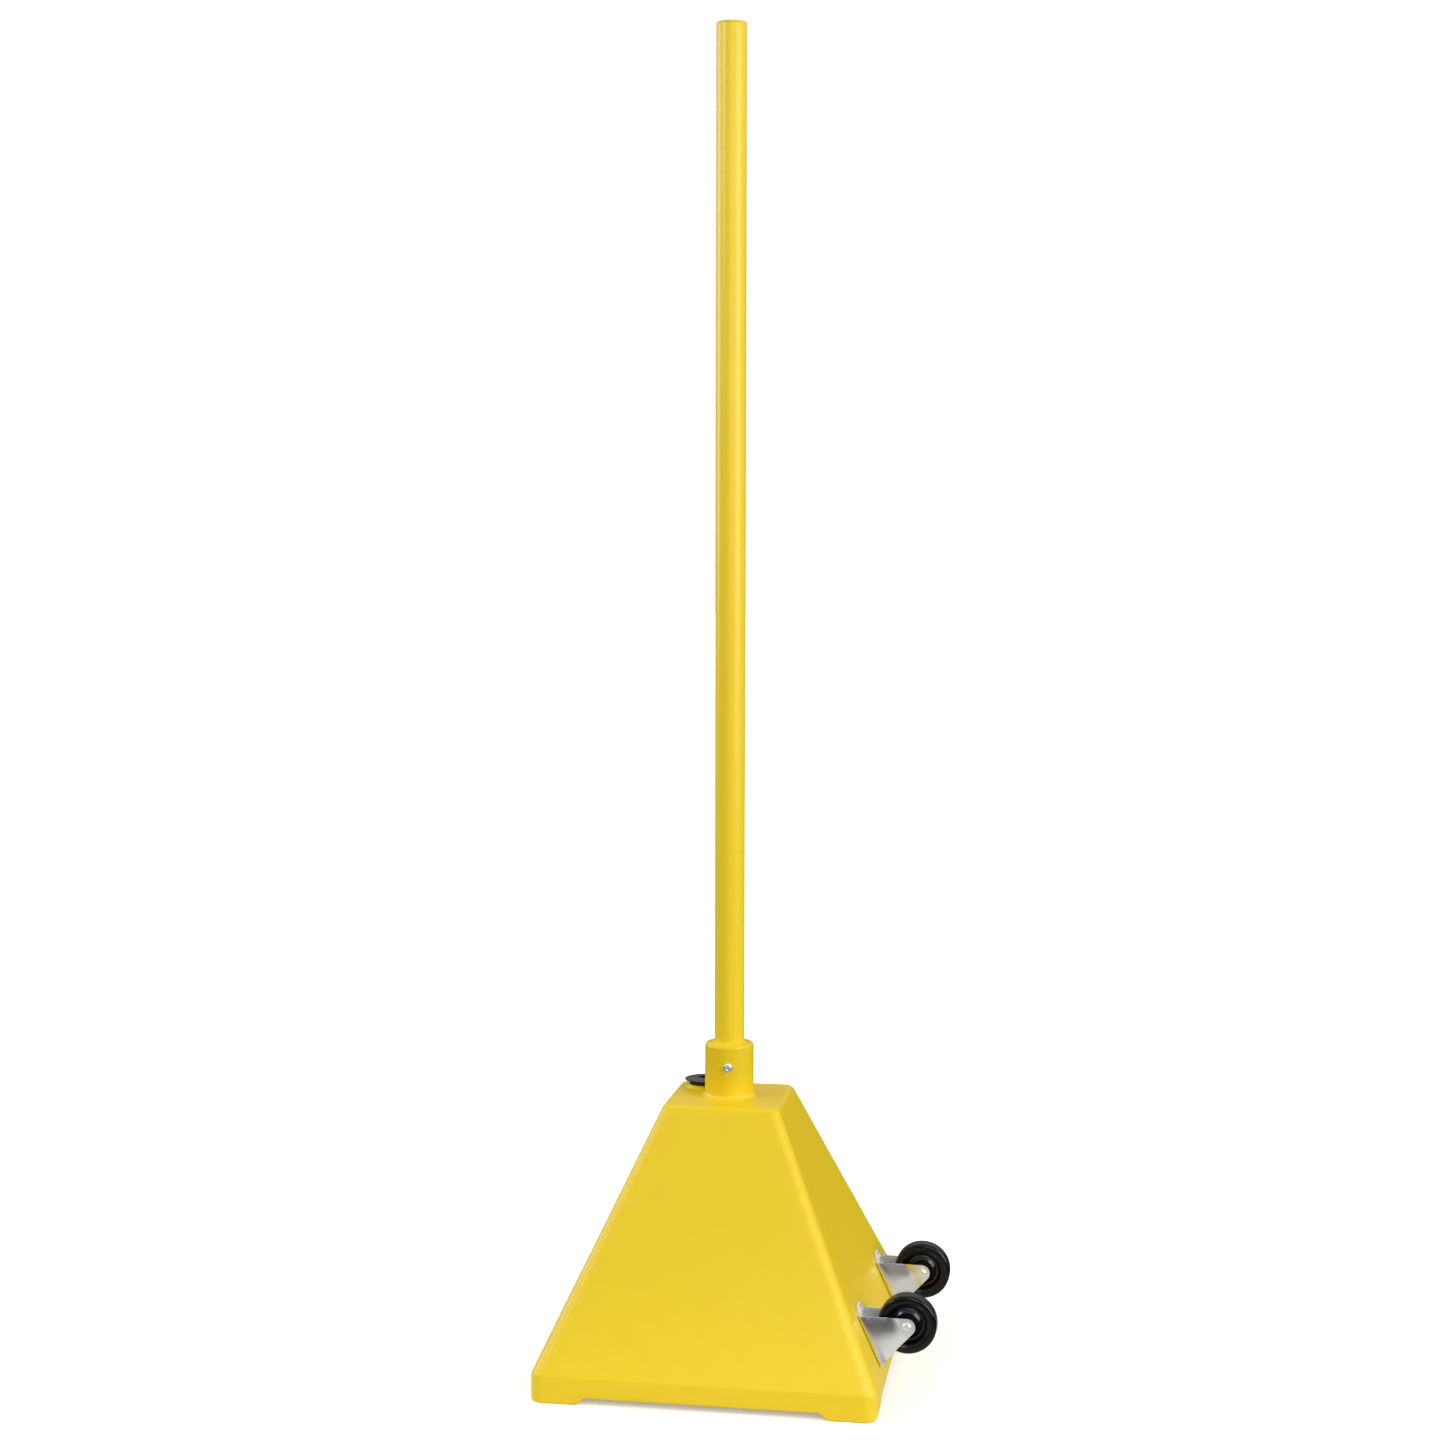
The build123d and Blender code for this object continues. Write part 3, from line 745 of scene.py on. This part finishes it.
def filler_boss():
    """The raised ring round the filler hole, which slopes down to the tank's top."""
    outline = rounded([(BOSS_R + 0.0010, -0.0015, 0), (BOSS_R - 0.0014, 0.0006, 0.0030),
                       (BOSS_TOP_R, BOSS_H, 0.0012), (BOSS_HOLE_R, BOSS_H, 0.0006),
                       (BOSS_HOLE_R, -0.012, 0), (BOSS_R, -0.012, 0)])
    return lathe(outline, (FILL_AT.x, FILL_AT.y, TOP_Z), (0, 0, 1), POST_SEGMENTS)


def make_tank(material):
    skin_verts, skin_faces, edge = tank_skin()
    shell = join_shells((skin_verts, skin_faces), underside(edge), filler_boss())
    tank = make_object("tank", *shell, sharp_deg=38)
    place(tank, "base", "tank_plastic", material, "base_shell")


# ---------------------------------------------------------------- post

def make_post(material, cap_material):
    low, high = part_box("post_tube")
    bore = POST_R - POST_WALL
    outline = rounded([(POST_R, low.z, 0.0005), (POST_R, high.z, 0.0004),
                       (bore, high.z, 0.0004), (bore, low.z, 0.0005)])
    post = make_object("post", *lathe(outline, (0, 0, 0), (0, 0, 1), POST_SEGMENTS))
    place(post, "base", "post_paint", material, "post_tube")

    cap_low, cap_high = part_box("post_top_cap")
    seat = cap_high.z - CAP_HEAD_T
    spigot = bore - SPIGOT_GAP
    ribs = []
    for k in reversed(range(RIB_COUNT)):
        top = seat - RIB_FIRST - k * RIB_STEP
        ribs += [(spigot, top - RIB_T, 0), (bore, top - 0.0010, 0), (bore, top - 0.0002, 0), (spigot, top, 0)]
    outline = rounded([(0, seat, 0), (spigot - SPIGOT_WALL, seat, 0.001),
                       (spigot - SPIGOT_WALL, cap_low.z, 0.0004),
                       (spigot, cap_low.z, 0.0006), *ribs, (spigot, seat, 0.0003), (POST_R, seat, 0.0004),
                       (POST_R, cap_high.z - 0.0003, 0.0014), (POST_R * 0.8, cap_high.z, 0.02),
                       (0, cap_high.z, 0)], closed=False)
    cap = make_object("post_cap", *lathe(outline, (0, 0, 0), (0, 0, 1), POST_SEGMENTS))
    place(cap, "base", "post_cap_plastic", cap_material, "post_top_cap")


# ---------------------------------------------------------------- screws

def hex_prism(seat, out, low, high, across_flats, dimple_r, dimple_depth):
    """A hexagon with a chamfered crown and a round dimple."""
    half = across_flats / 2
    crown = 0.95 * half

    def corner(angle):
        return half / math.cos(angle % math.radians(60) - math.radians(30))

    def radius_at(radius, height, angle):
        return corner(angle) if radius == half else radius

    def lift_at(radius, height, angle):
        chamfered = radius == half and height == high
        return high - (corner(angle) - crown) * math.tan(math.radians(30)) if chamfered else height

    outline = [(0, low), (half, low), (half, high), (crown, high), (dimple_r, high),
               (dimple_r * 0.9, high - dimple_depth * 0.5), (dimple_r * 0.6, high - dimple_depth * 0.9),
               (0, high - dimple_depth)]
    return lathe(outline, seat, out, SCREW_SEGMENTS, radius_at, lift_at)


def threaded_shank(seat, out, radius, length, pitch):
    """A screw's shank with thread rings and a pointed end."""
    rows = []
    for k in range(int((length - 0.005) / pitch)):
        low = -length + 0.003 + k * pitch
        rows += [(radius - 0.0005, low), (radius, low + pitch * 0.4), (radius, low + pitch * 0.6)]
    outline = [(0, -length), (radius * 0.45, -length), (radius - 0.0006, -length + 0.002), *rows,
               (radius - 0.0003, -0.0014), (radius, 0.0002), (0, 0.0002)]
    return lathe(outline, seat, out, SHANK_SEGMENTS)


def make_lock_screw(material):
    low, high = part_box("post_screw")
    out = Vector((math.cos(LOCK_TURN), math.sin(LOCK_TURN), 0))
    seat = Vector((0, 0, (low.z + high.z) / 2)) + out * LOCK_SEAT
    flange = rounded([(0, 0, 0), (LOCK_FLANGE_R, 0, 0.0003), (LOCK_FLANGE_R, 0.0009, 0.0005),
                      (0.0052, LOCK_FLANGE_T, 0.0004), (0, LOCK_FLANGE_T, 0)], closed=False)
    head = hex_prism(seat, out, 0.001, LOCK_HEX_H, LOCK_HEX_AF, LOCK_DIMPLE_R, LOCK_DIMPLE_DEPTH)
    shell = join_shells(head, lathe(flange, seat, out, SCREW_SEGMENTS),
                        threaded_shank(seat, out, LOCK_SHANK_R, LOCK_LENGTH, LOCK_PITCH))
    place(make_object("lock_screw", *shell, sharp_deg=28), "base", "zinc_screw", material, "post_screw")


# ---------------------------------------------------------------- filler

def thread_depth(height, angle):
    """How deep a screw thread is cut at a height and an angle, from 0 at its crest to 1 at its root."""
    phase = (height / THREAD_PITCH - angle / math.tau) % 1
    return smoothstep(0.1, 0.35, phase) * (1 - smoothstep(0.65, 0.9, phase))


def make_neck(material):
    rim_low = NECK_HIGH.z - NECK_RIM_H
    row_count = int((NECK_HIGH.z - NECK_LOW.z - 0.002) / THREAD_ROW)
    rows = [NECK_LOW.z + 0.001 + k * THREAD_ROW for k in range(row_count)]
    outline = rounded([(NECK_BARREL_R, NECK_LOW.z, 0.0005), (NECK_BARREL_R, rim_low, 0),
                       (NECK_RIM_R, rim_low, 0.0003), (NECK_RIM_R, NECK_HIGH.z, 0.0007),
                       (NECK_BORE_R, NECK_HIGH.z, 0.0006)], closed=False)
    outline += [(NECK_BORE_R, z) for z in reversed(rows)] + [(NECK_BORE_R, NECK_LOW.z)]

    def radius_at(radius, height, angle):
        inside = radius == NECK_BORE_R and rows[0] < height < rows[-1]
        return radius + THREAD_H * thread_depth(height, angle) if inside else radius

    shell = lathe(outline, (FILL_AT.x, FILL_AT.y, 0), (0, 0, 1), NECK_SEGMENTS, radius_at)
    place(make_object("fill_neck_part", *shell), "base", "black_plastic", material, "fill_neck")


def make_cap(material):
    low = NECK_HIGH.z + GASKET_T
    top = CAP_HIGH.z
    edge_low = low + CAP_EDGE_RISE
    edge_high = edge_low + CAP_EDGE_T
    roof = top - CAP_SOCKET_DEPTH - CAP_ROOF
    drop = top - edge_high
    row_count = int((low - CAP_LOW.z - 0.003) / THREAD_ROW)
    rows = [CAP_LOW.z + 0.001 + k * THREAD_ROW for k in range(row_count)]
    dome = [(CAP_DISC_R * k / 24, top - drop * (k / 24) ** 2) for k in range(23, 8, -1)]
    socket_top = top - drop * (CAP_SOCKET_HALF / CAP_DISC_R) ** 2
    outline = rounded([(0, roof, 0), (CAP_PLUG_BORE, roof, 0.0012), (CAP_PLUG_BORE, CAP_LOW.z, 0.0004),
                       (CAP_PLUG_R, CAP_LOW.z, 0.0006), (CAP_PLUG_R, rows[0], 0)], closed=False)[:-1]
    outline += [(CAP_PLUG_R, z) for z in rows] + [(CAP_PLUG_R, low)]
    outline += rounded([(CAP_PLUG_R, low, 0), (CAP_SEAT_R, low, 0.0004), (CAP_DISC_R, edge_low, 0.0004),
                        (CAP_DISC_R, edge_high, 0.0005), dome[0] + (0,)], closed=False)[1:]
    outline += dome[1:]
    outline += [(SOCKET_FLAG, socket_top), (SOCKET_FLAG, top - CAP_SOCKET_DEPTH), (0, top - CAP_SOCKET_DEPTH)]

    def radius_at(radius, height, angle):
        if radius == SOCKET_FLAG:
            return CAP_SOCKET_HALF / max(abs(math.cos(angle)), abs(math.sin(angle)))
        if radius == CAP_PLUG_R and rows[0] < height < rows[-1]:
            return radius - THREAD_H * thread_depth(height, angle)
        step = math.tau / CAP_NOTCHES
        arc = abs((angle + step / 2) % step - step / 2) * CAP_DISC_R
        notch = math.sqrt(max(0.0, CAP_NOTCH_R ** 2 - arc ** 2))
        return min(radius, CAP_DISC_R - notch)

    shell = lathe(outline, (FILL_AT.x, FILL_AT.y, 0), (0, 0, 1), CAP_SEGMENTS, radius_at)
    place(make_object("cap", *shell), "filler_cap", "black_plastic", material, "fill_cap")


# ---------------------------------------------------------------- casters

def leg_reach(height, sign):
    """How far along the slope a leg reaches from its axle's line, at a height out of the sloped face."""
    corner = LEG_UPPER if sign > 0 else LEG_LOWER
    reach = math.hypot(corner, AXLE_H)
    lean = math.atan2(abs(corner), AXLE_H) - math.asin(LEG_BOSS_R / reach)
    length = math.sqrt(reach ** 2 - LEG_BOSS_R ** 2)
    tangent_h = length * math.cos(lean)
    if height <= tangent_h:
        return corner - sign * height * math.tan(lean)
    return sign * math.sqrt(max(0.0, LEG_BOSS_R ** 2 - (height - AXLE_H) ** 2))


def tab_reach(across, sign):
    """How far along the slope a tab reaches, with its rounded corners."""
    tab = TAB_UPPER if sign > 0 else TAB_LOWER
    past = max(0.0, abs(across) - (TAB_HALF - TAB_CORNER_R))
    inset = TAB_CORNER_R - math.sqrt(max(0.0, TAB_CORNER_R ** 2 - past ** 2))
    plain = LEG_UPPER if sign > 0 else LEG_LOWER
    return sign * max(abs(plain), abs(tab) - inset) if past < TAB_CORNER_R else plain


def fork_section():
    """The sheet's outer surface across the fork, as (across, height) from one leg's tip to the other's."""
    ease = [AXLE_H + LEG_BOSS_R * math.sin(math.radians(90) * k / 10) for k in range(10, 0, -1)]
    ease += [AXLE_H - 0.0015 * k for k in range(8)]
    straight = [FORK_TAPER_H - 0.0022 * k for k in range(1, 16)]
    leg = [(-FORK_TIP_HALF, h) for h in ease]
    leg += [(-FORK_ROOT_HALF + (FORK_ROOT_HALF - FORK_TIP_HALF) * h / FORK_TAPER_H, h) for h in straight]
    bend = rounded([(leg[-1][0], leg[-1][1], 0), (-FORK_ROOT_HALF, 0, FORK_BEND_R), (-TAB_HALF, 0, 0)],
                   closed=False, step_deg=8)
    plate = [(-TAB_HALF + 0.0012 * k, 0) for k in range(1, 15)]
    half = [tuple(p) for p in leg[:-1]] + [tuple(p) for p in bend] + plate
    return half + [(-across, height) for across, height in reversed(half)]


def make_fork(end, foot, materials):
    """One pressed sheet: a plate with a rounded tab at each end and two legs that bow slightly inwards."""
    verts, rings = [], []
    for across, height in fork_section():
        flat = abs(across) <= TAB_HALF and height < 0.0001
        low, high = [tab_reach(across, s) if flat else leg_reach(height, s) for s in (-1, 1)]
        fade = smoothstep(*BOW_STARTS, height) * (1 - smoothstep(*BOW_ENDS, height))
        ring = []
        for k in range(FORK_COLUMNS + 1):
            share = 0.5 - 0.5 * math.cos(math.pi * k / FORK_COLUMNS)
            bow = LEG_BOW * (2 * share - 1) ** 2 * fade
            side = across - math.copysign(bow, across)
            ring.append(len(verts))
            verts.append(foot + FACE_UP * (low + (high - low) * share) + ACROSS * side + FACE_OUT * height)
        rings.append(ring)
    faces = []
    for a, b in zip(rings, rings[1:]):
        faces += [[a[k], a[k + 1], b[k + 1], b[k]] for k in range(FORK_COLUMNS)]
    fork = make_object(f"{end}_bracket", verts, faces, sharp_deg=60)
    outward = max(fork.data.polygons, key=lambda p: p.area)
    if outward.normal.dot(outward.center - (foot + FACE_OUT * AXLE_H * 0.5)) < 0:
        fork.data.flip_normals()
    sheet = fork.modifiers.new("sheet", "SOLIDIFY")
    sheet.thickness = SHEET
    sheet.offset = -1
    sheet.use_even_offset = True
    sheet.material_offset = 1
    edge = fork.modifiers.new("edge", "BEVEL")
    edge.width = SHEET_EDGE_R
    edge.segments = 3
    edge.limit_method = "ANGLE"
    edge.angle_limit = math.radians(50)
    place(fork, "base", "zinc_sheet", materials[0], f"{end}_fork")
    # The inside faces take the paler second finish: painted light on the legs' inner faces.
    fork.data.materials.append(materials[1])


def make_wheel(end, axle, tyre_material, core_material):
    lip = TYRE_BORE_R + TYRE_LIP
    edge = TYRE_R - TYRE_CROWN
    outline = rounded([(TYRE_BORE_R, -RIM_HALF, 0), (lip, -TYRE_HALF, TYRE_LIP_R),
                       (edge, -TYRE_HALF, TYRE_SHOULDER_R), (TYRE_R, 0, TYRE_CROWN_R),
                       (edge, TYRE_HALF, TYRE_SHOULDER_R), (lip, TYRE_HALF, TYRE_LIP_R),
                       (TYRE_BORE_R, RIM_HALF, 0)])
    tyre = make_object(f"{end}_tread", *lathe(outline, axle, ACROSS, WHEEL_SEGMENTS))
    place(tyre, f"{end}_wheel", "tyre_rubber", tyre_material, f"{end}_tyre")

    half = [(HUB_BORE_R, HUB_HALF, 0.0004), (HUB_R, HUB_HALF, 0.0010), (HUB_R + 0.0005, 0.0150, 0.002),
            (HUB_R + 0.0043, 2 * WEB_HALF, 0.006), (HUB_R + 0.0095, WEB_HALF, 0.005),
            (RIM_INNER_R, WEB_HALF, 0.0060), (TYRE_BORE_R - 0.0004, RIM_HALF, 0.0010),
            (TYRE_BORE_R, RIM_HALF, 0.0002)]
    mirrored = [(radius, -along, corner_r) for radius, along, corner_r in half]
    outline = rounded(mirrored + list(reversed(half)), step_deg=6)
    core = make_object(f"{end}_centre", *lathe(outline, axle, ACROSS, WHEEL_SEGMENTS))
    place(core, f"{end}_wheel", "wheel_plastic", core_material, f"{end}_wheel_core")


def make_bolts(end, foot, material):
    shells = []
    for along in (BOLT_UPPER, BOLT_LOWER):
        seat = foot + FACE_UP * along + FACE_OUT * (SHEET + WASHER_T)
        shells.append(hex_prism(seat, FACE_OUT, 0, BOLT_HEAD_H, BOLT_AF, BOLT_DIMPLE_R, BOLT_DIMPLE_DEPTH))
        shells.append(threaded_shank(seat, FACE_OUT, BOLT_SHANK_R, BOLT_LENGTH, BOLT_PITCH))
    bolts = make_object(f"{end}_bolts", *join_shells(*shells), sharp_deg=28)
    place(bolts, "base", "zinc_screw", material, f"{end}_fork_bolts")


# ---------------------------------------------------------------- the whole object

def keep(node, material):
    """A CAD node that already has the right shape, with its real finish."""
    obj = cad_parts[node]
    obj.data.materials.clear()
    obj.data.materials.append(material)


def build():
    zinc = zinc_screw()
    # The second finish, for the sheet's inside faces, is paler, rougher and only half metallic: partly a
    # duller inside, partly painted light that makes the legs' inner faces read bright.
    sheet = (zinc_sheet("zinc_sheet", (0.88, 0.88, 0.89), 0.16, 1.0),
             zinc_sheet("zinc_sheet_inside_painted_light", (0.92, 0.92, 0.93), 0.55, 0.5))
    black = black_plastic()
    core = wheel_plastic()
    make_tank(tank_plastic())
    make_post(post_paint(), cap_plastic())
    make_lock_screw(zinc)
    make_neck(black)
    make_cap(black)
    keep("cap_gasket", seal_rubber())
    for end in CASTERS:
        low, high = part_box(f"{end}_tyre")
        axle = (low + high) / 2
        foot = axle - FACE_OUT * AXLE_H
        make_fork(end, foot, sheet)
        make_wheel(end, axle, tyre_rubber(f"{end}_tyre_rubber", axle), core)
        make_bolts(end, foot, zinc)
        for part in ("axle_sleeve", "axle_rivet", "fork_washers", "threaded_inserts"):
            keep(f"{end}_{part}", zinc)


# ---------------------------------------------------------------- camera, light and floor

def make_camera():
    """The product view's camera, in front of the base and slightly above it."""
    forward = Vector((-math.sin(CAMERA_YAW) * math.cos(CAMERA_PITCH),
                      math.cos(CAMERA_YAW) * math.cos(CAMERA_PITCH), -math.sin(CAMERA_PITCH)))
    level = Vector((math.cos(CAMERA_YAW), math.sin(CAMERA_YAW), 0))
    up = level.cross(forward)
    right = level * math.cos(CAMERA_ROLL) + up * math.sin(CAMERA_ROLL)
    up = up * math.cos(CAMERA_ROLL) - level * math.sin(CAMERA_ROLL)
    data = bpy.data.cameras.new("camera")
    data.sensor_width = SENSOR_MM
    data.lens = LENS_MM
    data.clip_end = CLIP_END
    camera = bpy.data.objects.new("camera", data)
    camera.matrix_world = Matrix(((right.x, up.x, -forward.x, CAMERA_AT.x),
                                  (right.y, up.y, -forward.y, CAMERA_AT.y),
                                  (right.z, up.z, -forward.z, CAMERA_AT.z), (0, 0, 0, 1)))
    bpy.context.collection.objects.link(camera)
    bpy.context.scene.camera = camera


def make_world():
    """A white room to look at, with a softer light: bright overhead, dim in front at eye level."""
    world = bpy.data.worlds.new("studio")
    bpy.context.scene.world = world
    world.use_nodes = True
    tree = world.node_tree
    seen = tree.nodes["Background"]
    seen.inputs["Color"].default_value = (1, 1, 1, 1)
    seen.inputs["Strength"].default_value = 1.0

    place_node = tree.nodes.new("ShaderNodeTexCoord")
    split = tree.nodes.new("ShaderNodeSeparateXYZ")
    tree.links.new(place_node.outputs["Generated"], split.inputs["Vector"])
    ramp = tree.nodes.new("ShaderNodeMapRange")
    ramp.interpolation_type = "SMOOTHSTEP"
    for socket, number in zip(RANGE_SOCKETS, SKY_RAMP):
        ramp.inputs[socket].default_value = number
    tree.links.new(split.outputs["Z"], ramp.inputs["Value"])
    light = tree.nodes.new("ShaderNodeBackground")
    light.inputs["Color"].default_value = (1, 1, 1, 1)
    tree.links.new(ramp.outputs["Result"], light.inputs["Strength"])

    rays = tree.nodes.new("ShaderNodeLightPath")
    mix = tree.nodes.new("ShaderNodeMixShader")
    tree.links.new(rays.outputs["Is Camera Ray"], mix.inputs["Fac"])
    tree.links.new(light.outputs["Background"], mix.inputs[1])
    tree.links.new(seen.outputs["Background"], mix.inputs[2])
    tree.links.new(mix.outputs["Shader"], tree.nodes["World Output"].inputs["Surface"])


def softbox(name, at, target, width, height, power):
    data = bpy.data.lights.new(name, "AREA")
    data.shape = "RECTANGLE"
    data.size = width
    data.size_y = height
    data.energy = power
    light = bpy.data.objects.new(name, data)
    light.location = at
    light.rotation_euler = (Vector(target) - Vector(at)).to_track_quat("-Z", "Y").to_euler()
    bpy.context.collection.objects.link(light)


def make_floor():
    corners = [(x * FLOOR_HALF, y * FLOOR_HALF, 0) for x, y in ((-1, -1), (1, -1), (1, 1), (-1, 1))]
    floor = make_object("floor", corners, [[0, 1, 2, 3]])
    floor.data.materials.append(floor_paint())


build()
make_camera()
make_world()
for lamp in SOFTBOXES:
    softbox(*lamp)
make_floor()
bpy.context.scene.view_settings.view_transform = "Standard"
